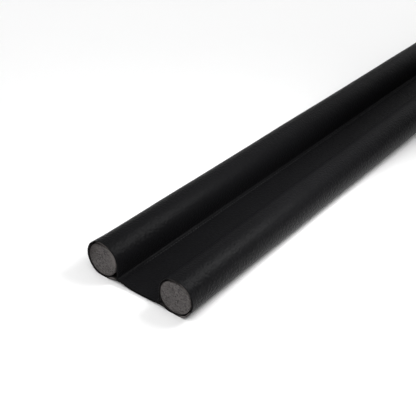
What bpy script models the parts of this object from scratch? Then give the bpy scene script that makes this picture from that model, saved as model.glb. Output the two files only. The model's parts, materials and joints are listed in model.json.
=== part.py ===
# Twin-roll draught excluder, lying on a floor with a channel between its rolls.
#
# One leatherette panel is folded into a sleeve and sewn along two lines. That leaves a round pocket
# on each side, with a foam rod in it, and a flat web of two plies between them.
#
# Metres. +Z is up and +Y runs along the rolls. The origin is on the floor under the middle.

from collections import namedtuple
from math import cos, pi, radians, sin

import bmesh
import bpy
import numpy as np

MM = 0.001

# Driving sizes
LENGTH = 930 * MM
ROLL_SPACING = 76.4 * MM          # from roll axis to roll axis
FOAM_RADIUS = 15.0 * MM
CLOTH = 1.2 * MM                  # one ply of leatherette with its knitted back
SLACK = 0.6 * MM                  # between the foam and the cloth round it
REST_GAP = 0.3 * MM               # between the foam and the cloth that it lies on
WEB_GAP = 0.4 * MM                # between the two plies of the web
CORE_INSET = 0.4 * MM             # how far each foam end lies inside the cover's cut end
CORE_LEAN = 0.2 * MM              # the foam lies a little towards the channel

# Roll section, seen from its end with the channel on the inner side
ROLL_RADIUS = FOAM_RADIUS + SLACK + CLOTH
AXIS_HEIGHT = CLOTH + REST_GAP + FOAM_RADIUS
ARC_START = 180                   # degrees, the side that faces the channel
ARC_END = -70                     # degrees, where the round meets the floor strip
ARC_STEP = 10
FLOOR_OUTER = 4.5 * MM            # the flat spot's reach from under the axis, outwards
FLOOR_INNER = 5.5 * MM            # and towards the channel
LOOSE_ANGLE = -60                 # degrees, middle of the loose fold at the lower outer side
LOOSE_SPREAD = 30                 # degrees, from its middle to its edge
FLANK_LEAN = 0.7 * MM             # how far the inner flank leans in under the roll

# Web section
WEB_THICKNESS = 2 * CLOTH + WEB_GAP
WEB_EDGE = 1.8 * MM               # underside above the floor at the sewing lines
WEB_MIDDLE = 0.8 * MM             # and halfway between the rolls
WEB_FLAT = 5.0 * MM               # half the width of the level strip in the middle
CREASE_RADIUS = 1.2 * MM          # where the web's top ply turns up into the roll
CREASE_STEPS = 3
RISE_STEPS = 3                    # between the floor strip and the sewing line
WEB_STEPS = 2                     # between the crease and the level strip

CORE_SIDES = 36

COVER_SHARP = 35                  # degrees, the cut edges stay sharp and the folds are round
CORE_SHARP = 40

# How uneven the cover is, in millimetres: a row for each section along the length, from the near end.
# The swell widens a roll and the loose fold is the slack that lies at its lower outer side.
Section = namedtuple("Section", "along left_swell left_loose right_swell right_loose")
SECTIONS = (
    Section(0.000, 0.10, 0.20, 0.10, 1.30),
    Section(0.020, 0.00, 0.20, 0.00, 1.20),
    Section(0.050, 0.00, 0.25, -0.05, 1.00),
    Section(0.100, 0.10, 0.30, 0.05, 0.85),
    Section(0.165, -0.05, 0.40, 0.10, 0.70),
    Section(0.235, 0.05, 0.35, -0.05, 0.60),
    Section(0.310, 0.15, 0.50, 0.05, 0.55),
    Section(0.390, 0.00, 0.60, 0.15, 0.60),
    Section(0.470, -0.05, 0.50, 0.00, 0.75),
    Section(0.550, 0.10, 0.45, -0.05, 0.65),
    Section(0.630, 0.20, 0.60, 0.20, 0.50),
    Section(0.710, 0.05, 0.70, 0.05, 0.60),
    Section(0.790, -0.05, 0.60, 0.10, 0.70),
    Section(0.865, 0.05, 0.75, -0.05, 0.55),
    Section(0.930, 0.10, 0.90, 0.00, 0.50),
    Section(0.975, 0.00, 1.00, 0.05, 0.45),
    Section(1.000, 0.10, 1.10, 0.10, 0.45),
)

COVER_COLOUR = (0.0138, 0.0138, 0.0144, 1.0)
FOAM_COLOUR = (0.0802, 0.0742, 0.0723, 1.0)


def clear_scene():
    for thing in list(bpy.data.objects):
        bpy.data.objects.remove(thing, do_unlink=True)


def leatherette():
    material = bpy.data.materials.new("black_leatherette")
    material.use_nodes = True
    shader = material.node_tree.nodes["Principled BSDF"]
    shader.inputs["Base Color"].default_value = COVER_COLOUR
    shader.inputs["Roughness"].default_value = 0.48
    shader.inputs["Metallic"].default_value = 0.0
    return material


def foam():
    material = bpy.data.materials.new("dark_grey_foam")
    material.use_nodes = True
    shader = material.node_tree.nodes["Principled BSDF"]
    shader.inputs["Base Color"].default_value = FOAM_COLOUR
    shader.inputs["Roughness"].default_value = 0.95
    shader.inputs["Metallic"].default_value = 0.0
    return material


def shade_smooth(thing, sharp_degrees):
    thing.data.shade_smooth()
    thing.data.set_sharp_from_angle(angle=radians(sharp_degrees))


def web_underside(x):
    """Height of the web's underside: it hangs a little between the sewing lines."""
    reach = ROLL_SPACING / 2 - ROLL_RADIUS
    across = max(0.0, (x - WEB_FLAT) / (reach - WEB_FLAT))
    return WEB_MIDDLE + (WEB_EDGE - WEB_MIDDLE) * across ** 2


def roll_arc(swell, loose):
    """The round of a roll, from its inner side over the top to the floor, as (outwards, height)."""
    points = []
    for angle in range(ARC_START, ARC_END - 1, -ARC_STEP):
        off = (angle - LOOSE_ANGLE) / LOOSE_SPREAD
        fold = cos(pi / 2 * off) ** 2 if abs(off) < 1 else 0.0
        radius = ROLL_RADIUS + swell + loose * fold
        height = AXIS_HEIGHT + radius * sin(radians(angle))
        points.append((radius * cos(radians(angle)), max(0.0, height)))
    return points


def crease(flank):
    """The turn from the web's top ply up into the roll's inner flank, seen from the channel."""
    seam = flank - CREASE_RADIUS
    base = web_underside(ROLL_SPACING / 2 + seam) + WEB_THICKNESS
    points = []
    for step in range(CREASE_STEPS + 1):
        turn = pi / 2 * step / CREASE_STEPS
        points.append((seam + CREASE_RADIUS * sin(turn), base + CREASE_RADIUS * (1 - cos(turn))))
    return points


def half_section(swell, loose):
    """Outer outline of one side, from the level strip's top over the roll to its underside, as (x, height)."""
    centre = ROLL_SPACING / 2
    flank = -ROLL_RADIUS - swell + FLANK_LEAN
    turn = crease(flank)
    seam = turn[0][0]
    web = [WEB_FLAT + (centre + seam - WEB_FLAT) * step / WEB_STEPS for step in range(WEB_STEPS)]
    top = [(x, web_underside(x) + WEB_THICKNESS) for x in web]
    roll = turn + roll_arc(swell, loose)
    roll += [(FLOOR_OUTER, 0.0), (0.0, 0.0), (-FLOOR_INNER, 0.0)]
    foot = web_underside(centre + seam)
    for step in range(1, RISE_STEPS + 1):
        part = step / RISE_STEPS
        roll.append((-FLOOR_INNER + (seam + FLOOR_INNER) * part, foot * part * part * (3 - 2 * part)))
    bottom = [(x, web_underside(x)) for x in reversed(web)]
    return top + [(centre + out, height) for out, height in roll] + bottom


def cover_section(row):
    """The closed outer outline of the whole cover at one section."""
    right = half_section(row.right_swell * MM, row.right_loose * MM)
    left = half_section(row.left_swell * MM, row.left_loose * MM)
    return np.array(right + [(-x, height) for x, height in reversed(left)])


def inside_of(outline):
    """The cover's inner outline: the outer one moved in by one ply, with its corners mitred."""
    ahead = np.roll(outline, -1, axis=0) - outline
    ahead /= np.linalg.norm(ahead, axis=1)[:, None]
    inward = np.stack([ahead[:, 1], -ahead[:, 0]], axis=1)
    before = np.roll(inward, 1, axis=0)
    mitre = (inward + before) / (1 + (inward * before).sum(axis=1))[:, None]
    return outline + mitre * CLOTH


def loft_ring(mesh, outline, y):
    return [mesh.verts.new((x, y, z)) for x, z in outline]


def bridge(mesh, first, second):
    count = len(first)
    for i in range(count):
        j = (i + 1) % count
        mesh.faces.new((first[i], first[j], second[j], second[i]))


def make_cover(collection):
    """The sewn sleeve: its outer and inner outlines lofted from end to end and joined at the cut ends."""
    mesh = bmesh.new()
    outer = []
    inner = []
    for row in SECTIONS:
        y = (row.along - 0.5) * LENGTH
        outline = cover_section(row)
        outer.append(loft_ring(mesh, outline, y))
        inner.append(loft_ring(mesh, inside_of(outline), y))
    for rings in (outer, inner):
        for first, second in zip(rings, rings[1:]):
            bridge(mesh, first, second)
    for end in (0, -1):
        bridge(mesh, outer[end], inner[end])
    bmesh.ops.recalc_face_normals(mesh, faces=mesh.faces)
    data = bpy.data.meshes.new("cover")
    mesh.to_mesh(data)
    mesh.free()
    cover = bpy.data.objects.new("cover", data)
    collection.objects.link(cover)
    data.materials.append(leatherette())
    shade_smooth(cover, COVER_SHARP)
    return cover


def make_core(collection, name, side, material):
    """A foam rod, laid along its pocket. The side is -1 for the left one and 1 for the right one."""
    bpy.ops.mesh.primitive_cylinder_add(
        vertices=CORE_SIDES,
        radius=FOAM_RADIUS,
        depth=LENGTH - 2 * CORE_INSET,
        location=(side * (ROLL_SPACING / 2 - CORE_LEAN), 0.0, AXIS_HEIGHT),
        rotation=(pi / 2, 0.0, 0.0),
    )
    core = bpy.context.object
    core.name = name
    core.data.name = name
    for home in list(core.users_collection):
        home.objects.unlink(core)
    collection.objects.link(core)
    core.data.materials.append(material)
    shade_smooth(core, CORE_SHARP)
    return core


def main():
    clear_scene()
    collection = bpy.data.collections.new("draught_excluder")
    bpy.context.scene.collection.children.link(collection)
    make_cover(collection)
    core_material = foam()
    make_core(collection, "core_left", -1, core_material)
    make_core(collection, "core_right", 1, core_material)


main()
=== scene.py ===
# Draught excluder with two foam rolls in one sewn leatherette sleeve, lying on a pale floor.
# Sizes are in millimetres and are turned to metres where a mesh is made.

import json
from collections import namedtuple
from math import cos, pi, radians, sin

import bpy
import numpy as np
from mathutils import Matrix, Vector, noise

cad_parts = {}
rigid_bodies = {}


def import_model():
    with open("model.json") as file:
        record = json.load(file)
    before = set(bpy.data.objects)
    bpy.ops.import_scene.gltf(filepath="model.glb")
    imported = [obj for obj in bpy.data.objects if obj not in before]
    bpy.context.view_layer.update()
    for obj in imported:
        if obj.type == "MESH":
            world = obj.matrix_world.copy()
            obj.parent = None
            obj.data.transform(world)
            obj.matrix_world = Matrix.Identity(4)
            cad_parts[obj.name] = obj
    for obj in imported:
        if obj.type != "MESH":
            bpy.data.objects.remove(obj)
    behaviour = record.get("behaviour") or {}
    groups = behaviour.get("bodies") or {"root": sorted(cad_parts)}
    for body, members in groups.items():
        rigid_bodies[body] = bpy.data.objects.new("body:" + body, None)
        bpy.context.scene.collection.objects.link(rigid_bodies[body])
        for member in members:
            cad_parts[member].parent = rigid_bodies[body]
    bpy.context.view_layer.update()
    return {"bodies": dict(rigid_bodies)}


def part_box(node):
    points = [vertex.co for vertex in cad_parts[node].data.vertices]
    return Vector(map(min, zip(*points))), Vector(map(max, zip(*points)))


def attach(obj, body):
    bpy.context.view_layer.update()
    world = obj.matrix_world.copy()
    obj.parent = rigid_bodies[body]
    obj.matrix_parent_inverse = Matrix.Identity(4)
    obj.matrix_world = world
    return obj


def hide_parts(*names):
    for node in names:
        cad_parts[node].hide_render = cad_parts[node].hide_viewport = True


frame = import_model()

mm = 0.001
coverLow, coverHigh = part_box("cover")
coreLow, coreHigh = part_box("core_right")

length = (coverHigh.y - coverLow.y) / mm
nearEnd = coverLow.y / mm
foamRadius = (coreHigh.z - coreLow.z) / 2 / mm
axisHeight = (coreHigh.z + coreLow.z) / 2 / mm
coreCentre = (coreHigh.x + coreLow.x) / 2 / mm
coreEnd = coreHigh.y / mm


# Colour and node helpers

def toLinear(hexColour):
    parts = [int(hexColour[i:i + 2], 16) / 255 for i in (1, 3, 5)]
    return tuple(c / 12.92 if c <= 0.04045 else ((c + 0.055) / 1.055) ** 2.4 for c in parts) + (1.0,)


def addNode(tree, kind, settings=None, links=None):
    node = tree.nodes.new(kind)
    for name, value in (settings or {}).items():
        if isinstance(name, int) or name in node.inputs:
            node.inputs[name].default_value = value
        else:
            setattr(node, name, value)
    for name, source in (links or {}).items():
        tree.links.new(source, node.inputs[name])
    return node


def startMaterial(name):
    material = bpy.data.materials.new(name)
    material.use_nodes = True
    tree = material.node_tree
    shader = tree.nodes["Principled BSDF"]
    place = addNode(tree, "ShaderNodeTexCoord").outputs["Object"]
    return material, tree, shader, place


def perMetre(sizeInMm):
    return 1.0 / (sizeInMm * mm)   # a texture scale from the real size of its cell


def bentPlace(tree, place, size, reach):
    # the coordinates pushed about by soft noise, which pulls cells out of their even shape
    bend = addNode(tree, "ShaderNodeTexNoise", {"Scale": perMetre(size), "Detail": 2.0}, {"Vector": place})
    push = addNode(tree, "ShaderNodeVectorMath", {"operation": "SCALE", "Scale": reach * mm},
                   {"Vector": bend.outputs["Color"]})
    moved = addNode(tree, "ShaderNodeVectorMath", {"operation": "ADD"}, {0: place, 1: push.outputs[0]})
    return moved.outputs[0]


# PU leatherette: a soft polyurethane film, roller-embossed with a pebble grain on a knitted back.
# The film gives a broad dull sheen, broken into specks where the light glances off the pebbles.
leatherettePrefs = {
    "colour": "#0f0f10",
    "worn": "#161618",
    "pebble": 1.3,         # the real grain is about 0.8 mm, drawn coarser so that it shows
    "pebbleRise": 0.03,    # heights are in millimetres
    "crown": 0.22,         # how far in from its edge a pebble levels off, as a share of its size
    "bend": 2.2,           # noise that makes the pebbles uneven
    "bendReach": 0.7,
    "wrinkle": 0.3,        # fine cross lines on each pebble
    "wrinkleRise": 0.015,
    "clump": 2.2,          # pebbles lie in small uneven clumps
    "clumpRise": 0.65,
    "ripple": 9.0,         # the film isn't quite flat on its back
    "rippleRise": 0.18,
    "patch": 45.0,         # slow changes in the finish
    "roughLow": 0.36,      # in the middle of a pebble
    "roughHigh": 0.42,     # and this far from its middle, as a share of its size
    "roughReach": 0.8,
}


def makeLeatherette():
    prefs = leatherettePrefs
    material, tree, shader, place = startMaterial("puLeatheretteEmbossed")
    bent = bentPlace(tree, place, prefs["bend"], prefs["bendReach"])
    pebbles = addNode(tree, "ShaderNodeTexVoronoi", {"feature": "F1", "Scale": perMetre(prefs["pebble"])},
                      {"Vector": bent})
    valleys = addNode(tree, "ShaderNodeTexVoronoi",
                      {"feature": "DISTANCE_TO_EDGE", "Scale": perMetre(prefs["pebble"])},
                      {"Vector": bent})
    crown = addNode(tree, "ShaderNodeMapRange",
                    {"interpolation_type": "SMOOTHSTEP", "From Min": 0.0, "From Max": prefs["crown"]},
                    {"Value": valleys.outputs["Distance"]})
    height = addNode(tree, "ShaderNodeMath", {"operation": "MULTIPLY", 1: prefs["pebbleRise"]},
                     {0: crown.outputs["Result"]})
    for layer, detail in (("wrinkle", 3.0), ("clump", 1.5), ("ripple", 1.0)):
        bumps = addNode(tree, "ShaderNodeTexNoise", {"Scale": perMetre(prefs[layer]), "Detail": detail},
                        {"Vector": place})
        height = addNode(tree, "ShaderNodeMath", {"operation": "MULTIPLY_ADD", 1: prefs[layer + "Rise"]},
                         {0: bumps.outputs["Fac"], 2: height.outputs[0]})
    grain = addNode(tree, "ShaderNodeBump", {"Strength": 1.0, "Distance": mm}, {"Height": height.outputs[0]})
    tree.links.new(grain.outputs["Normal"], shader.inputs["Normal"])
    patches = addNode(tree, "ShaderNodeTexNoise", {"Scale": perMetre(prefs["patch"]), "Detail": 4.0},
                      {"Vector": place})
    wear = addNode(tree, "ShaderNodeMath", {"operation": "MULTIPLY"},
                   {0: patches.outputs["Fac"], 1: crown.outputs["Result"]})
    colour = addNode(tree, "ShaderNodeMix",
                     {"data_type": "RGBA", 6: toLinear(prefs["colour"]), 7: toLinear(prefs["worn"])},
                     {0: wear.outputs[0]})
    tree.links.new(colour.outputs[2], shader.inputs["Base Color"])
    rough = addNode(tree, "ShaderNodeMapRange",
                    {"From Min": 0.0, "From Max": prefs["roughReach"],
                     "To Min": prefs["roughLow"], "To Max": prefs["roughHigh"]},
                    {"Value": pebbles.outputs["Distance"]})
    tree.links.new(rough.outputs["Result"], shader.inputs["Roughness"])
    shader.inputs["IOR"].default_value = 1.47
    shader.inputs["Specular IOR Level"].default_value = 0.05
    return material


# Knitted backing: grey polyester loops, dull and a little furry where the cloth stands off the foam.
knitPrefs = {"colour": "#302e2e", "shade": "#171616", "loop": 0.6, "fibre": 0.25, "rise": 0.15}

# The same knit cut through with its film, painted near black: the dark colour is painted shade along the cut
# edge, and the knit's fibres still show in its pattern.
cutEdgeShadePrefs = {"colour": "#090909", "shade": "#040404", "loop": 0.4, "fibre": 0.25, "rise": 0.15}

# A soft round change of colour on a cut end: its place, its size, its colour and how far the cloth's
# fibres stand up there
Spot = namedtuple("Spot", "x y height size colour rise")
spotCore = 0.3   # the share of a spot's size that has its full colour

# Lighter grey patches on the cut edge: partly the knit's grey fibres standing out where the blade tore it,
# partly painted light where the edge catches the light
fraysAndPaintedLight = (
    Spot(-28.0, nearEnd, 2.4, 5.5, "#575352", 1.6),
    Spot(46.5, nearEnd, 1.4, 5.0, "#6b6766", 0.5),
    Spot(51.5, nearEnd, 6.0, 5.0, "#4a4645", 0.2),
    Spot(47.5, nearEnd, 30.0, 9.5, "#4a4645", 0.7),
    Spot(35.5, nearEnd, 33.0, 6.0, "#2e2b2a", 0.2),
    Spot(-37.0, nearEnd, 32.5, 9.0, "#4a4645", 0.5),
    Spot(31.0, -nearEnd, 30.5, 5.0, "#575352", 0.5),
    Spot(-50.0, -nearEnd, 8.0, 4.5, "#575352", 0.5),
)


def addSpots(tree, place, colour, spots):
    for spot in spots:
        centre = (spot.x * mm, spot.y * mm, spot.height * mm)
        off = addNode(tree, "ShaderNodeVectorMath", {"operation": "DISTANCE", 1: centre}, {0: place})
        patch = addNode(tree, "ShaderNodeMapRange",
                        {"interpolation_type": "SMOOTHSTEP", "From Min": spotCore * spot.size * mm,
                         "From Max": spot.size * mm, "To Min": 1.0, "To Max": 0.0},
                        {"Value": off.outputs["Value"]})
        colour = addNode(tree, "ShaderNodeMix", {"data_type": "RGBA", 7: toLinear(spot.colour)},
                         {0: patch.outputs["Result"], 6: colour.outputs[2]})
    return colour


def makeKnit(name, prefs, tornAndLitSpots=()):
    material, tree, shader, place = startMaterial(name)
    loops = addNode(tree, "ShaderNodeTexVoronoi", {"feature": "F1", "Scale": perMetre(prefs["loop"])},
                    {"Vector": place})
    fibres = addNode(tree, "ShaderNodeTexNoise", {"Scale": perMetre(prefs["fibre"]), "Detail": 4.0},
                     {"Vector": place})
    both = addNode(tree, "ShaderNodeMath", {"operation": "MULTIPLY"},
                   {0: loops.outputs["Distance"], 1: fibres.outputs["Fac"]})
    colour = addNode(tree, "ShaderNodeMix",
                     {"data_type": "RGBA", 6: toLinear(prefs["colour"]), 7: toLinear(prefs["shade"])},
                     {0: both.outputs[0]})
    # spots of other colour: on the cut edge these are partly torn fibres and partly painted light
    colour = addSpots(tree, place, colour, tornAndLitSpots)
    bump = addNode(tree, "ShaderNodeBump", {"Strength": 0.8, "Distance": prefs["rise"] * mm},
                   {"Height": both.outputs[0]})
    tree.links.new(colour.outputs[2], shader.inputs["Base Color"])
    tree.links.new(bump.outputs["Normal"], shader.inputs["Normal"])
    shader.inputs["Roughness"].default_value = 0.95
    shader.inputs["Specular IOR Level"].default_value = 0.04
    return material


# Closed-cell polyethylene foam: an extruded rod, knife-cut at the ends. The opened cells make the cut matt
# and specked.
foamPrefs = {
    "colour": "#434040",
    "deep": "#100f0f",
    "light": "#686463",
    "speckShare": 0.65,    # how much the cells differ from each other
    "cell": 1.1,
    "bend": 0.8,           # noise that makes the cells uneven
    "bendReach": 0.9,
    "wall": "#6a6665",     # the walls between the cut cells catch the light
    "wallShare": 0.3,
    "wallWidth": 0.25,     # as a share of a cell
    "pitDepth": 0.25,
    "skinAndRimShade": "#393534",     # darker towards the rod's edge: partly the foam's denser extruded skin, partly painted shade under the cloth's rim
    "skinAndRimShadeDepth": 3.5,
}

# Painted shade on the left rod's cut face, darker at its outer side and at its top under the cloth's rim, and
# a painted lighter patch towards the channel
foamPaintedShadeAndLight = (
    Spot(-59.0, nearEnd, 22.0, 19.0, "#231f1e", 0.0),
    Spot(-40.0, nearEnd, 37.0, 13.0, "#2c2827", 0.0),
    Spot(-20.0, nearEnd, 24.0, 14.0, "#5e5a58", 0.0),
)


def makeFoam():
    prefs = foamPrefs
    material, tree, shader, place = startMaterial("polyethyleneFoamCut")
    bent = bentPlace(tree, place, prefs["bend"], prefs["bendReach"])
    cells = addNode(tree, "ShaderNodeTexVoronoi",
                    {"feature": "DISTANCE_TO_EDGE", "Scale": perMetre(prefs["cell"])},
                    {"Vector": bent})
    each = addNode(tree, "ShaderNodeTexVoronoi", {"feature": "F1", "Scale": perMetre(prefs["cell"])},
                   {"Vector": bent})
    walls = addNode(tree, "ShaderNodeMapRange", {"From Min": 0.0, "From Max": prefs["wallWidth"]},
                    {"Value": cells.outputs["Distance"]})
    tone = addNode(tree, "ShaderNodeSeparateColor", None, {"Color": each.outputs["Color"]})
    speck = addNode(tree, "ShaderNodeMix",
                    {"data_type": "RGBA", 6: toLinear(prefs["deep"]), 7: toLinear(prefs["light"])},
                    {0: tone.outputs[0]})
    # the distance from a rod's axis, the same for both rods
    fold = addNode(tree, "ShaderNodeVectorMath", {"operation": "ABSOLUTE"}, {0: place})
    across = addNode(tree, "ShaderNodeVectorMath",
                     {"operation": "MULTIPLY_ADD", 1: (1, 0, 1), 2: (-coreCentre * mm, 0, -axisHeight * mm)},
                     {0: fold.outputs[0]})
    fromAxis = addNode(tree, "ShaderNodeVectorMath", {"operation": "LENGTH"}, {0: across.outputs[0]})
    # darker towards the rod's edge: partly the denser skin, partly painted shade under the cloth's rim
    skinAndRimShade = addNode(tree, "ShaderNodeMapRange",
                   {"interpolation_type": "SMOOTHSTEP", "From Min": (foamRadius - prefs["skinAndRimShadeDepth"]) * mm,
                    "From Max": foamRadius * mm}, {"Value": fromAxis.outputs["Value"]})
    ground = addNode(tree, "ShaderNodeMix",
                     {"data_type": "RGBA", 6: toLinear(prefs["colour"]), 7: toLinear(prefs["skinAndRimShade"])},
                     {0: skinAndRimShade.outputs["Result"]})
    colour = addNode(tree, "ShaderNodeMix", {"data_type": "RGBA", 0: prefs["speckShare"]},
                     {6: ground.outputs[2], 7: speck.outputs[2]})
    # painted shade and painted light on the left rod's cut face
    colour = addSpots(tree, place, colour, foamPaintedShadeAndLight)
    rim = addNode(tree, "ShaderNodeMapRange", {"To Min": prefs["wallShare"], "To Max": 0.0},
                  {"Value": walls.outputs["Result"]})
    colour = addNode(tree, "ShaderNodeMix", {"data_type": "RGBA", 7: toLinear(prefs["wall"])},
                     {0: rim.outputs["Result"], 6: colour.outputs[2]})
    bump = addNode(tree, "ShaderNodeBump",
                   {"Strength": 0.7, "Distance": prefs["pitDepth"] * mm, "invert": True},
                   {"Height": walls.outputs["Result"]})
    tree.links.new(colour.outputs[2], shader.inputs["Base Color"])
    tree.links.new(bump.outputs["Normal"], shader.inputs["Normal"])
    shader.inputs["Roughness"].default_value = 0.92
    shader.inputs["Specular IOR Level"].default_value = 0.2
    return material


# Polyester sewing thread: three plies twisted and dyed black, with a painted sheen: lighter bands along the
# twist stand in for the lustre along each stitch.
threadPrefs = {"colour": "#111112", "light": "#232324", "twist": 0.5, "rise": 0.05}


def makeThread():
    prefs = threadPrefs
    material, tree, shader, place = startMaterial("polyesterThreadTwisted")
    # a diagonal wave texture counts 10 radians to a unit
    twist = addNode(tree, "ShaderNodeTexWave",
                    {"bands_direction": "DIAGONAL", "Scale": perMetre(prefs["twist"]) * 2 * pi / 10,
                     "Distortion": 0.4}, {"Vector": place})
    # painted sheen: the lighter colour follows the twist of the plies
    colour = addNode(tree, "ShaderNodeMix",
                     {"data_type": "RGBA", 6: toLinear(prefs["colour"]), 7: toLinear(prefs["light"])},
                     {0: twist.outputs["Fac"]})
    bump = addNode(tree, "ShaderNodeBump", {"Strength": 0.4, "Distance": prefs["rise"] * mm},
                   {"Height": twist.outputs["Fac"]})
    tree.links.new(colour.outputs[2], shader.inputs["Base Color"])
    tree.links.new(bump.outputs["Normal"], shader.inputs["Normal"])
    shader.inputs["Roughness"].default_value = 0.5
    return material


leatherette = makeLeatherette()
knitBack = makeKnit("polyesterKnitBack", knitPrefs)
# the cut edge's near-black is painted shade; its lighter patches are partly torn fibres and partly painted
# light
cutEdgeShaded = makeKnit("leatheretteCutEdgeShaded", cutEdgeShadePrefs, fraysAndPaintedLight)
foam = makeFoam()
thread = makeThread()
print("materials made")


# The cover's section, seen from its near end. Out is away from the channel, and the roll's axis is at 0.
cut = {
    "ply": 1.2,
    "film": 0.40,           # the black film's part of the ply, seen at the cut edge
    "edgeRound": 0.14,      # wear on the cut edge's corners
    "slack": 0.6,
    "coreLean": 0.2,
    "webGap": 0.4,
    "webEdge": 1.8,         # height of the web's underside at the sewing
    "webMiddle": 0.8,
    "webFlat": 5.0,
    "creaseRadius": 1.2,
    "flankLean": 0.7,
    "looseAngle": -60,
    "looseSpread": 30,
    "arcEnd": -70,
    "floorOuter": 4.5,
    "floorInner": 5.5,
    "softTimes": 3,         # how often the outline's corners are rounded
}
rollSpacing = 2 * (coreCentre + cut["coreLean"])
rollRadius = foamRadius + cut["slack"] + cut["ply"]
webThickness = 2 * cut["ply"] + cut["webGap"]
seamOut = -rollRadius + cut["flankLean"] - cut["creaseRadius"]   # where the web meets the roll
seamX = rollSpacing / 2 + seamOut

# How the sleeve differs along its length, from the near end: the same rows as the solid it stands for.
Station = namedtuple("Station", "along leftSwell leftLoose rightSwell rightLoose")
stations = (
    Station(0.000, 0.10, 0.20, 0.10, 1.30),
    Station(0.020, 0.00, 0.20, 0.00, 1.20),
    Station(0.050, 0.00, 0.25, -0.05, 1.00),
    Station(0.100, 0.10, 0.30, 0.05, 0.85),
    Station(0.165, -0.05, 0.40, 0.10, 0.70),
    Station(0.235, 0.05, 0.35, -0.05, 0.60),
    Station(0.310, 0.15, 0.50, 0.05, 0.55),
    Station(0.390, 0.00, 0.60, 0.15, 0.60),
    Station(0.470, -0.05, 0.50, 0.00, 0.75),
    Station(0.550, 0.10, 0.45, -0.05, 0.65),
    Station(0.630, 0.20, 0.60, 0.20, 0.50),
    Station(0.710, 0.05, 0.70, 0.05, 0.60),
    Station(0.790, -0.05, 0.60, 0.10, 0.70),
    Station(0.865, 0.05, 0.75, -0.05, 0.55),
    Station(0.930, 0.10, 0.90, 0.00, 0.50),
    Station(0.975, 0.00, 1.00, 0.05, 0.45),
    Station(1.000, 0.10, 1.10, 0.10, 0.45),
)


def smoothThrough(name, at):
    # a smooth curve through one column of the stations
    x = np.array([row.along for row in stations])
    y = np.array([getattr(row, name) for row in stations])
    slope = np.gradient(y, x)
    i = np.clip(np.searchsorted(x, at, side="right") - 1, 0, len(x) - 2)
    step = x[i + 1] - x[i]
    t = np.clip((at - x[i]) / step, 0, 1)
    rise = y[i + 1] - y[i]
    bendIn = slope[i] * step - rise
    bendOut = -slope[i + 1] * step + rise
    return y[i] + rise * t + t * (1 - t) * (bendIn * (1 - t) + bendOut * t)


def webUnderside(x):
    across = np.clip((np.abs(x) - cut["webFlat"]) / (rollSpacing / 2 - rollRadius - cut["webFlat"]), 0, None)
    return cut["webMiddle"] + (cut["webEdge"] - cut["webMiddle"]) * across ** 2


def ease(t):
    return t * t * (3 - 2 * t)


# Points round one half of the section: how many in each stretch, and how much the web's crowd to the seam
stretch = {"webTop": 15, "crease": 6, "flank": 8, "round": 48, "floor": 9, "rise": 7, "webUnder": 10}
crowding = {"webTop": 1.8, "webUnder": 1.4}


def halfSection(swell, loose):
    # one side of the outer outline, from the middle of the web's top over the roll to its underside
    t = {name: (np.arange(count) + 0.5) / count for name, count in stretch.items()}
    radius = rollRadius + swell
    top = webUnderside(seamX) + webThickness
    x = seamX * (1 - (1 - t["webTop"]) ** crowding["webTop"])
    webTop = [x - rollSpacing / 2, webUnderside(x) + webThickness]
    turn = t["crease"] * pi / 2
    crease = [seamOut + cut["creaseRadius"] * np.sin(turn), top + cut["creaseRadius"] * (1 - np.cos(turn))]
    foot = top + cut["creaseRadius"]
    flank = [-radius + (cut["flankLean"] + swell) * (1 - t["flank"]) ** 2,
             foot + (axisHeight - foot) * t["flank"]]
    angle = 180 + (cut["arcEnd"] - 180) * t["round"]
    off = np.clip((angle - cut["looseAngle"]) / cut["looseSpread"], -1, 1)
    reach = radius + loose * np.cos(pi / 2 * off) ** 2
    arc = [reach * np.cos(np.radians(angle)),
           np.maximum(0.0, axisHeight + reach * np.sin(np.radians(angle)))]
    lay = [cut["floorOuter"] - (cut["floorOuter"] + cut["floorInner"]) * t["floor"], 0 * t["floor"]]
    rise = [-cut["floorInner"] + (seamOut + cut["floorInner"]) * t["rise"],
            webUnderside(seamX) * ease(t["rise"])]
    x = seamX * (1 - t["webUnder"] ** crowding["webUnder"])
    webUnder = [x - rollSpacing / 2, webUnderside(x)]
    return np.hstack([webTop, crease, flank, arc, lay, rise, webUnder]).T


# Which points of one half lie in which part of it
kinds = np.concatenate([np.repeat(name, count) for name, count in stretch.items()])
halfCount = len(kinds)
onRound = kinds == "round"
onFlank = (kinds == "crease") | (kinds == "flank") | onRound
onWebTop = kinds == "webTop"
onWeb = onWebTop | (kinds == "webUnder")
onLow = onWeb | (kinds == "rise")
roundAngle = 180 + (cut["arcEnd"] - 180) * (np.arange(stretch["round"]) + 0.5) / stretch["round"]


def softened(points, times, keep):
    # rounds the outline's corners a little, except where keep is true
    for _ in range(times):
        middle = (np.roll(points, 1, axis=0) + np.roll(points, -1, axis=0)) / 2
        points = np.where(keep[:, None], points, (points + middle) / 2)
    return points


def inwardNormals(points):
    ahead = np.roll(points, -1, axis=0) - np.roll(points, 1, axis=0)
    ahead /= np.linalg.norm(ahead, axis=1)[:, None]
    return np.stack([ahead[:, 1], -ahead[:, 0]], axis=1)


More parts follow.
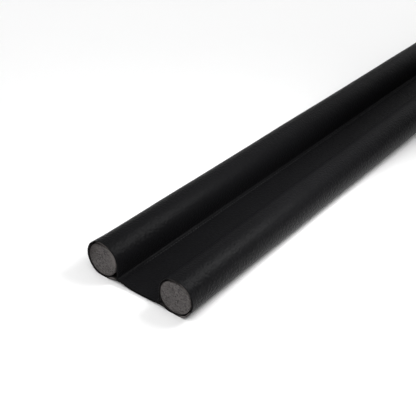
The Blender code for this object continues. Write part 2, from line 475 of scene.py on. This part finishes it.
# Creases in the rolls: the side (-1 left, 1 right), the distance from the near end, the angle on the roll,
# the reach along the crease, its width, its depth (a ridge is negative) and its slant off the roll's length.
Crease = namedtuple("Crease", "side along angle reach width depth slant")
creases = (
    Crease(1, 120, -47, 240, 5.0, 0.20, 0),
    Crease(1, 180, -34, 95, 7.0, -0.38, 0),
    Crease(-1, 0, 118, 70, 9.0, 0.35, 0),
    Crease(1, 14, -38, 16, 3.0, 0.20, 8),
    Crease(1, 46, 98, 20, 5.0, 0.05, -20),
    Crease(1, 92, 28, 34, 5.0, 0.06, 6),
    Crease(1, 128, -30, 30, 4.0, 0.12, -5),
    Crease(1, 171, 72, 26, 6.0, 0.06, 28),
    Crease(1, 236, 15, 38, 6.0, 0.08, -8),
    Crease(1, 305, 110, 24, 5.5, 0.12, -35),
    Crease(1, 368, 48, 30, 6.0, 0.12, 22),
    Crease(1, 433, -22, 40, 5.0, 0.14, 5),
    Crease(1, 520, 82, 28, 6.5, 0.14, -25),
    Crease(1, 602, 20, 36, 5.0, 0.10, 10),
    Crease(1, 688, 104, 24, 5.0, 0.14, 32),
    Crease(1, 760, 40, 32, 6.0, 0.12, -14),
    Crease(1, 842, -26, 34, 4.5, 0.16, 6),
    Crease(1, 905, 66, 16, 4.5, 0.14, 40),
    Crease(-1, 22, 150, 14, 3.5, 0.10, 30),
    Crease(-1, 84, 76, 26, 6.0, 0.07, -18),
    Crease(-1, 150, 8, 36, 5.0, 0.10, 6),
    Crease(-1, 214, 96, 24, 6.0, 0.10, 30),
    Crease(-1, 296, -24, 38, 4.5, 0.16, -6),
    Crease(-1, 355, 58, 28, 6.5, 0.10, -24),
    Crease(-1, 448, 112, 22, 5.0, 0.14, 38),
    Crease(-1, 530, 20, 36, 5.5, 0.12, -9),
    Crease(-1, 615, 80, 26, 6.0, 0.12, 26),
    Crease(-1, 700, -28, 34, 4.5, 0.18, 5),
    Crease(-1, 782, 52, 30, 6.0, 0.12, -20),
    Crease(-1, 861, 100, 20, 5.0, 0.14, 34),
    Crease(-1, 912, 12, 16, 4.5, 0.18, -12),
)

# Small pulls that the sewing makes, up the flank beside each seam
pulls = {
    "seed": 11,
    "spacing": 17.0,
    "width": 3.0,
    "depth": 0.20,
    "reach": 8.0,
    "start": 2.0,                   # a pull has its full depth from this far up
    "placeRange": (0.15, 0.85),     # each pull's own place, depth and reach, as shares of the plain ones
    "depthRange": (0.35, 1.0),
    "reachRange": (0.6, 1.5),
}
pullDraw = np.random.default_rng(pulls["seed"])


def pullPlaces():
    count = int(length / pulls["spacing"])
    place = (np.arange(count) + pullDraw.uniform(*pulls["placeRange"], count)) * pulls["spacing"]
    depth = pulls["depth"] * pullDraw.uniform(*pulls["depthRange"], count)
    reach = pulls["reach"] * pullDraw.uniform(*pulls["reachRange"], count)
    return place, depth, reach


pullRows = {side: pullPlaces() for side in (-1, 1)}

# The trough that the stitches lie in, where they press the cloth thinner
seamLine = {"inset": 1.7, "width": 0.9, "depth": 0.28}
seamStitchX = seamX - seamLine["inset"]


def pressed(outline):
    # the cloth's thickness at each point, as a share of its full one
    share = np.exp(-((np.abs(outline[:, 0]) - seamStitchX) / seamLine["width"]) ** 2)
    web = np.r_[onWeb, onWeb[::-1]]
    return 1 - web * share * seamLine["depth"] / cut["ply"]


# Slow waves in the cloth: the height, the length of one radian, how often the wave goes round the roll and
# how far the two sides are out of step.
Wave = namedtuple("Wave", "height radian lobes step")
webWaves = (Wave(0.10, 23.0, 0, 1), Wave(0.07, 9.7, 0, 2))
rollWaves = (Wave(0.04, 31.0, 2, 1), Wave(0.03, 13.7, -3, 0))


def slowWaves(waves, side, along, turn):
    return sum(wave.height * np.sin(along / wave.radian + turn * wave.lobes + side * wave.step)
               for wave in waves)


def dents(side, along, half):
    # how far the cloth lies inside its plain section, for one half of it
    dent = np.zeros(halfCount)
    for crease in creases:
        if crease.side != side or abs(along - crease.along) > 3 * crease.reach:
            continue
        a = along - crease.along
        b = radians(1) * (roundAngle - crease.angle) * rollRadius
        turn = radians(crease.slant)
        down, over = a * cos(turn) + b * sin(turn), b * cos(turn) - a * sin(turn)
        dent[onRound] += crease.depth * np.exp(-(down / crease.reach) ** 2 - (over / crease.width) ** 2)
    place, depth, reach = pullRows[side]
    rise = np.cumsum(np.r_[0, np.linalg.norm(np.diff(half[onFlank], axis=0), axis=1)])
    start = np.clip(rise / pulls["start"], 0, 1)
    for at in np.flatnonzero(np.abs(place - along) < 3 * pulls["width"]):
        share = np.exp(-((along - place[at]) / pulls["width"]) ** 2)
        dent[onFlank] += depth[at] * share * np.exp(-(rise / reach[at]) ** 2) * start
    x = half[:, 0] + rollSpacing / 2
    seam = np.exp(-((x - seamStitchX) / seamLine["width"]) ** 2)
    dent[onWeb] += (seamLine["depth"] * seam)[onWeb]
    dent[onWebTop] += slowWaves(webWaves, side, along, 0.0) * (1 - seam[onWebTop])
    dent[onRound] += slowWaves(rollWaves, side, along, np.radians(roundAngle))
    return dent


# At the cut ends the cloth springs off the foam a little: the side, the angle where it stands off most,
# how far that spreads round the roll, the gap and how far it reaches along the roll.
Mouth = namedtuple("Mouth", "side angle spread gap reach")
mouths = (
    Mouth(1, 18, 70, 0.45, 9.0),
    Mouth(-1, 38, 60, 0.45, 10.0),
)


def mouthFlare(side, fromEnd):
    flare = np.zeros(halfCount)
    for mouth in mouths:
        if mouth.side == side:
            off = np.clip((roundAngle - mouth.angle) / mouth.spread, -1, 1)
            gap = mouth.gap * np.exp(-(fromEnd / mouth.reach) ** 2)
            flare[onRound] += gap * np.cos(pi / 2 * off) ** 2
    return flare


# How the cloth between the foam rods lies off its plain line at the cut ends: the end (0 both, -1 near),
# the place across, the half width, the lift (a sinking is negative) and how far it reaches from the end.
Sway = namedtuple("Sway", "end x halfWidth lift reach")
sways = (
    Sway(0, 0.0, 15.0, -0.15, 30.0),
    Sway(-1, -20.0, 15.0, 1.00, 26.0),
    Sway(-1, 26.0, 7.0, 0.60, 20.0),
    Sway(1, -25.0, 8.0, 0.45, 24.0),
)


def clothLift(x, along):
    lift = np.zeros(len(x))
    for sway in sways:
        fromEnd = min(along if sway.end < 1 else length, length - along if sway.end > -1 else length)
        across = np.clip((x - sway.x) / sway.halfWidth, -1, 1)
        lift += sway.lift * np.exp(-(fromEnd / sway.reach) ** 2) * np.cos(pi / 2 * across) ** 2
    return lift


def outerSection(along):
    part = along / length
    halves = []
    for side, name in ((1, "right"), (-1, "left")):
        half = halfSection(smoothThrough(name + "Swell", part), smoothThrough(name + "Loose", part))
        fromEnd = min(along, length - along)
        move = dents(side, along, half) - mouthFlare(side, fromEnd)
        placed = half + [rollSpacing / 2, 0]
        loop = np.vstack([placed, placed[::-1] * [-1, 1]])   # closed with its own mirror image
        loop = softened(loop, cut["softTimes"], np.r_[onWebTop, onWebTop[::-1]])
        normal = inwardNormals(loop)[:halfCount]
        moved = loop[:halfCount] + normal * move[:, None]
        moved[onLow, 1] += clothLift(side * moved[onLow, 0], along)
        moved[:, 1] = np.maximum(moved[:, 1], 0.0)
        halves.append(moved)
    return np.vstack([halves[0], halves[1][::-1] * [-1, 1]])


# Rings of the closed sheet, as (distance from the near end, depth under the outer face): out along the
# outside, round the far cut edge, back along the inside and round the near cut edge.
rings = {
    "ends": (0.15, 0.6, 1.5, 3.0, 4.8, 7.0),
    "step": 2.5,
    "leastStep": 0.1,
    "backEnds": (0.15, 3.0),    # the inside is hidden, so it has fewer rings
    "backStart": 20.0,
    "backStep": 30.0,
}


def ringPlaces():
    ends, backEnds = np.array(rings["ends"]), np.array(rings["backEnds"])
    inner = np.arange(ends[-1] + rings["step"], length - ends[-1] - rings["leastStep"], rings["step"])
    outside = [(at, 0.0, "film") for at in np.r_[ends, inner, length - ends[::-1]]]
    ply, film, worn = cut["ply"], cut["film"], cut["edgeRound"]
    rim = [(0.0, worn, "film"), (0.0, film, "film"), (0.0, (film + ply) / 2, "cut"), (0.0, ply - worn, "cut")]
    inner = np.arange(rings["backStart"], length - rings["backStart"], rings["backStep"])
    back = [(at, ply, "back") for at in np.r_[backEnds, inner, length - backEnds[::-1]]]
    far = [(length - at, depth, kind) for at, depth, kind in rim]
    return outside + far + back[::-1] + rim[::-1]


def meshObject(name, points, faces, materials, faceMaterials=None):
    data = bpy.data.meshes.new(name)
    data.from_pydata((np.asarray(points) * mm).tolist(), [], faces)
    for material in materials:
        data.materials.append(material)
    if faceMaterials is not None:
        data.polygons.foreach_set("material_index", np.asarray(faceMaterials, dtype=np.int32))
    data.polygons.foreach_set("use_smooth", np.ones(len(data.polygons), dtype=bool))
    data.update()
    piece = bpy.data.objects.new(name, data)
    bpy.context.scene.collection.objects.link(piece)
    return piece


def bridgeRings(a, b, count, flip=False):
    # quads between two rings of points, from the number of each ring's first point
    faces = []
    for i in range(count):
        j = (i + 1) % count
        faces.append((a + i, b + i, b + j, a + j) if flip else (a + i, a + j, b + j, b + i))
    return faces


# The blade's small wander round the cut edge: waves from few lobes to many
cutWave = {"seed": 5, "height": 0.16, "reach": 2.5, "fewest": 2, "most": 25}
cutDraw = np.random.default_rng(cutWave["seed"])


def edgeWaves(count):
    # one row for each end
    turn = np.arange(count) / count * 2 * pi
    rows = []
    for _ in range(2):
        wave = 0.0
        for lobes in range(cutWave["fewest"], cutWave["most"] + 1):
            share = cutDraw.uniform(-1, 1) / lobes ** 0.5
            wave = wave + share * np.sin(lobes * turn + cutDraw.uniform(0, 6))
        rows.append(cutWave["height"] * wave / np.abs(wave).max())
    return rows


# Torn fibres: their spread as a share of the spot's size, and how far they reach from the end
fray = {"spread": 0.6, "reach": 2.0}


def fibreRise(outline, along):
    # how much thicker the torn fibres make the cut edge
    rise = np.zeros(len(outline))
    for spot in fraysAndPaintedLight:
        fromEnd = along if spot.y < 0 else length - along
        off = np.hypot(outline[:, 0] - spot.x, outline[:, 1] - spot.height)
        spread = fray["spread"] * spot.size
        rise += spot.rise * np.exp(-(off / spread) ** 2 - (fromEnd / fray["reach"]) ** 2)
    return rise


def makeCover():
    places = ringPlaces()
    waves = edgeWaves(2 * halfCount)
    cache = {}
    points = []
    for along, depth, _ in places:
        if along not in cache:
            cache[along] = outerSection(along)
        outline = cache[along]
        thickness = depth * (pressed(outline) + fibreRise(outline, along) / cut["ply"])
        inner = outline + inwardNormals(outline) * thickness[:, None]
        wander = waves[0] * np.exp(-(along / cutWave["reach"]) ** 2)
        wander = wander + waves[1] * np.exp(-((length - along) / cutWave["reach"]) ** 2)
        y = nearEnd + along + wander
        points.append(np.stack([inner[:, 0], y, inner[:, 1]], axis=1))
    count = 2 * halfCount
    faces = []
    faceMaterials = []
    for r in range(len(places)):
        nextRing = (r + 1) % len(places)
        both = (places[r][2], places[nextRing][2])
        faces += bridgeRings(r * count, nextRing * count, count, flip=True)
        faceMaterials += [2 if "cut" in both else 1 if "back" in both else 0] * count
    return meshObject("coverSleeve", np.vstack(points), faces,
                      [leatherette, knitBack, cutEdgeShaded], faceMaterials)


cover = makeCover()
print("cover made:", len(cover.data.polygons), "faces")


# Foam rods: extruded rods with knife-cut ends
rod = {
    "sides": 150,
    "faceRings": 26,
    "firstRing": 0.03,       # the ring round the middle of a cut face, as a share of its radius
    "edgeRound": 0.45,
    "edgeBend": 0.3,         # where the rounded edge turns, as a share of it
    "endRings": (3, 6, 9, 13, 18, 24, 32),
    "bodyStart": 50,
    "bodyRings": 30,
    "cutWave": 0.12,         # the blade's slow wave
    "waveAcross": 4.0,       # the length of one radian of it across the face
    "waveUp": 5.0,           # and up the face
    "waveShift": 1.2,
    "pit": 0.9,
    "pitDepth": 0.10,
    "outOfRound": 0.10,
    "roundShift": 0.6,
    "squashReach": 14.0,
}

# Where the blade pressed each rod's end out of round: the rod's side, the angle round it, the spread and
# the depth, which is negative where the foam bulges
Squash = namedtuple("Squash", "side angle spread depth")
squashes = (
    Squash(1, 92, 56, 1.80),
    Squash(1, 218, 50, -0.90),
    Squash(-1, 88, 50, 1.40),
    Squash(-1, 2, 60, 1.00),
)


def cutFace(x, z, fade):
    # how far the knife-cut face stands out: a slow wave and shallow pits, which fade at the rod's edge
    wave = rod["cutWave"] * sin(x / rod["waveAcross"] + rod["waveShift"]) * cos(z / rod["waveUp"])
    pits = rod["pitDepth"] * noise.noise(Vector((x, z, 0)) / rod["pit"])
    return (wave + pits) * fade


def rodRadius(side, turn, fromEnd):
    radius = foamRadius + rod["outOfRound"] * (np.sin(2 * turn + rod["roundShift"]) - 1)
    for squash in squashes:
        if squash.side == side:
            off = (np.degrees(turn) - squash.angle + 180) % 360 - 180
            share = np.cos(pi / 2 * np.clip(off / squash.spread, -1, 1)) ** 2
            radius = radius - squash.depth * share * np.exp(-(fromEnd / rod["squashReach"]) ** 2)
    return radius


def rodRing(side, along, outward, share=1.0, drop=0.0, fade=0.0):
    # one ring of a rod, or of its cut face where the share of the radius is less than one
    turn = np.arange(rod["sides"]) / rod["sides"] * 2 * pi
    radius = share * rodRadius(side, turn, coreEnd - abs(along))
    x, z = side * coreCentre + radius * np.cos(turn), axisHeight + radius * np.sin(turn)
    out = np.array([cutFace(a, b, fade) for a, b in zip(x, z)]) - drop
    return np.stack([x, along + outward * out, z], axis=1)


def rodEnd(side, outward):
    # rings over one cut face, from its middle to the rod's side
    shrink = rod["edgeRound"] / foamRadius
    sizes = [(share, 0.0, 1.0) for share in np.linspace(rod["firstRing"], 1 - shrink, rod["faceRings"])]
    sizes += [(1 - shrink * rod["edgeBend"], rod["edgeRound"] * rod["edgeBend"], 0.5),
              (1.0, rod["edgeRound"], 0.0)]
    return [rodRing(side, outward * coreEnd, outward, *size) for size in sizes]


def makeRod(name, side):
    centre = side * coreCentre
    near, far = rodEnd(side, -1), rodEnd(side, 1)
    ends = np.array(rod["endRings"])
    middle = np.linspace(rod["bodyStart"] - coreEnd, coreEnd - rod["bodyStart"], rod["bodyRings"])
    places = np.r_[ends - coreEnd, middle, coreEnd - ends[::-1]]
    loops = near + [rodRing(side, at, 1) for at in places] + far[::-1]
    count = rod["sides"]
    tip = coreEnd + cutFace(centre, axisHeight, 1.0)
    points = np.vstack(loops + [[[centre, -tip, axisHeight]], [[centre, tip, axisHeight]]])
    faces = []
    for r in range(len(loops) - 1):
        faces += bridgeRings(r * count, (r + 1) * count, count)
    last = (len(loops) - 1) * count
    hub = len(loops) * count
    for i in range(count):
        j = (i + 1) % count
        faces.append((hub, j, i))
        faces.append((hub + 1, last + i, last + j))
    return meshObject(name, points, faces, [foam])


foamLeft = makeRod("foamLeft", -1)
foamRight = makeRod("foamRight", 1)
print("foam rods made")


# Lockstitch: one row along each roll, seen on the web's top and underside
stitch = {
    "seed": 31,
    "pitch": 3.5,
    "gap": 0.55,
    "thread": 0.42,
    "thin": 0.55,            # the share of its thickness that the thread has at the holes
    "rise": 0.75,            # how high it arches between them, as a share of its thickness
    "dive": 0.35,            # and how deep it lies in the trough's floor at them
    "sides": 6,
    "rings": 7,
    "wander": 0.10,
    "wanderStitches": 9,     # one radian of the wander
    "jitter": 0.04,
    "endInset": 1.0,
}
stitchDraw = np.random.default_rng(stitch["seed"])


def oneStitch(x, y0, y1, surface, up):
    # a thread lying on the cloth from hole to hole: up is 1 on the web's top and -1 on its underside
    t = np.linspace(0, 1, stitch["rings"])
    radius = stitch["thread"] / 2 * (stitch["thin"] + (1 - stitch["thin"]) * np.sin(pi * t) ** 0.5)
    arch = stitch["rise"] * np.sin(pi * t) ** 0.6 - stitch["dive"]
    height = surface + up * stitch["thread"] * arch
    turn = np.arange(stitch["sides"]) / stitch["sides"] * 2 * pi
    points = []
    for k in range(stitch["rings"]):
        y = y0 + (y1 - y0) * t[k]
        points += [(x + radius[k] * cos(a), y, height[k] + up * radius[k] * sin(a)) for a in turn]
    return points


def makeStitches(name, side):
    count = int((length - 2 * stitch["endInset"]) / stitch["pitch"])
    sides, ringCount = stitch["sides"], stitch["rings"]
    points, faces = [], []
    for up in (1, -1):
        level = webUnderside(seamStitchX) + (webThickness if up > 0 else 0.0) - up * seamLine["depth"]
        for k in range(count):
            start = nearEnd + stitch["endInset"] + k * stitch["pitch"]
            wander = stitch["wander"] * sin(k / stitch["wanderStitches"] + side)
            x = side * seamStitchX + wander + stitchDraw.normal(0, stitch["jitter"])
            base = len(points)
            points += oneStitch(x, start, start + stitch["pitch"] - stitch["gap"], level, up)
            tube = []
            for first in range(base, base + (ringCount - 1) * sides, sides):
                tube += bridgeRings(first, first + sides, sides)
            tube.append(tuple(range(base, base + sides))[::-1])
            tube.append(tuple(range(len(points) - sides, len(points))))
            faces += [face[::-1] for face in tube] if up > 0 else tube
    return meshObject(name, points, faces, [thread])


stitchesLeft = makeStitches("stitchesLeft", -1)
stitchesRight = makeStitches("stitchesRight", 1)
print("stitches made")


# What rides on the body; the CAD parts that the new pieces take the place of are hidden
body = list(frame["bodies"])[0]
for piece in (cover, foamLeft, foamRight, stitchesLeft, stitchesRight):
    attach(piece, body)
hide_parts("cover")
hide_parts("core_left")
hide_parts("core_right")


# Pale floor
floorPrefs = {
    "colour": "#f7f7f7",
    "light": "#fbfbfb",
    "mottle": 400.0,
    "size": 30000.0,
    "below": 0.05,      # a little under the sleeve, so that the two faces don't flicker
}


def makeFloor():
    prefs = floorPrefs
    half = prefs["size"] / 2
    z = -prefs["below"]
    material, tree, shader, place = startMaterial("paleMattBoard")
    mottle = addNode(tree, "ShaderNodeTexNoise", {"Scale": perMetre(prefs["mottle"]), "Detail": 2.0},
                     {"Vector": place})
    colour = addNode(tree, "ShaderNodeMix",
                     {"data_type": "RGBA", 6: toLinear(prefs["colour"]), 7: toLinear(prefs["light"])},
                     {0: mottle.outputs["Fac"]})
    tree.links.new(colour.outputs[2], shader.inputs["Base Color"])
    shader.inputs["Roughness"].default_value = 0.9
    shader.inputs["Specular IOR Level"].default_value = 0.1
    points = [(-half, -half, z), (half, -half, z), (half, half, z), (-half, half, z)]
    return meshObject("studioFloor", points, [(0, 1, 2, 3)], [material])


floor = makeFloor()


# Soft studio light
studio = {
    "backdrop": 1.0,          # what the camera sees beyond the floor
    "surround": 0.06,         # what the rest of the room gives the object
}

# Each light is a large soft source a long way off: its power, its width in degrees and where it stands
SoftLight = namedtuple("SoftLight", "name power width comesFrom")
softLights = (
    SoftLight("keyLeft", 0.09, 18, (0.14, 0.57, 0.81)),
    SoftLight("keyRight", 0.12, 16, (0.43, 0.52, 0.74)),
    SoftLight("backLeft", 0.14, 60, (-0.55, 0.68, 0.48)),
    SoftLight("sideLeft", 0.5, 40, (-0.90, 0.05, 0.42)),
    SoftLight("behind", 0.18, 40, (-0.10, 0.92, 0.38)),
    SoftLight("frontLeft", 1.85, 90, (-0.42, -0.42, 0.80)),
    SoftLight("frontRight", 1.3, 90, (0.52, -0.40, 0.75)),
)

# A smaller softbox over the near end, which the highlight fades away from
softbox = {"power": 0.76, "side": 145.0, "distance": 330.0, "comesFrom": (0.28, 0.62, 0.73)}


def aim(thing, direction):
    thing.rotation_mode = "QUATERNION"
    thing.rotation_quaternion = Vector(direction).to_track_quat("Z", "Y")


def makeLights():
    for row in softLights:
        light = bpy.data.objects.new(row.name, bpy.data.lights.new(row.name, "SUN"))
        light.data.energy = row.power
        light.data.angle = radians(row.width)
        bpy.context.scene.collection.objects.link(light)
        aim(light, row.comesFrom)
    box = bpy.data.objects.new("softbox", bpy.data.lights.new("softbox", "AREA"))
    box.data.energy = softbox["power"]
    box.data.size = softbox["side"] * mm
    away = Vector(softbox["comesFrom"]).normalized() * softbox["distance"]
    box.location = (away + Vector((coreCentre, nearEnd, 0))) * mm
    bpy.context.scene.collection.objects.link(box)
    aim(box, softbox["comesFrom"])
    world = bpy.data.worlds.new("studioSurround")
    bpy.context.scene.world = world
    world.use_nodes = True
    tree = world.node_tree
    tree.nodes.clear()
    path = addNode(tree, "ShaderNodeLightPath")
    seen = addNode(tree, "ShaderNodeBackground", {"Color": (1, 1, 1, 1), "Strength": studio["backdrop"]})
    around = addNode(tree, "ShaderNodeBackground", {"Color": (1, 1, 1, 1), "Strength": studio["surround"]})
    both = addNode(tree, "ShaderNodeMixShader", None,
                   {0: path.outputs["Is Camera Ray"], 1: around.outputs[0], 2: seen.outputs[0]})
    addNode(tree, "ShaderNodeOutputWorld", None, {"Surface": both.outputs[0]})


makeLights()
bpy.context.scene.view_settings.view_transform = "Standard"


# Camera, at the photograph's angle to the near end
view = {
    "azimuth": 35.65,
    "elevation": 32.30,
    "roll": 2.87,
    "lookAt": (64.8, 0.07, 109.4),    # millimetres, from the near end
    "distance": 542.5,
    "focal": 68.3,
    "sensor": 36.0,
    "clipStart": 10.0,
}


def makeCamera():
    a, e, r = (radians(view[name]) for name in ("azimuth", "elevation", "roll"))
    back = Vector((sin(a) * cos(e), -cos(a) * cos(e), sin(e)))
    right = Vector((cos(a), sin(a), 0.0))
    up = back.cross(right)
    rolledRight = right * cos(r) + up * sin(r)
    rolledUp = up * cos(r) - right * sin(r)
    target = Vector(view["lookAt"]) + Vector((0.0, nearEnd, 0.0))
    camera = bpy.data.objects.new("camera", bpy.data.cameras.new("camera"))
    camera.data.lens = view["focal"]
    camera.data.sensor_width = view["sensor"]
    camera.data.clip_start = view["clipStart"] * mm
    bpy.context.scene.collection.objects.link(camera)
    frameAxes = Matrix((rolledRight, rolledUp, back)).transposed().to_4x4()
    camera.matrix_world = Matrix.Translation((target + back * view["distance"]) * mm) @ frameAxes
    bpy.context.scene.camera = camera


makeCamera()
print("stage made")
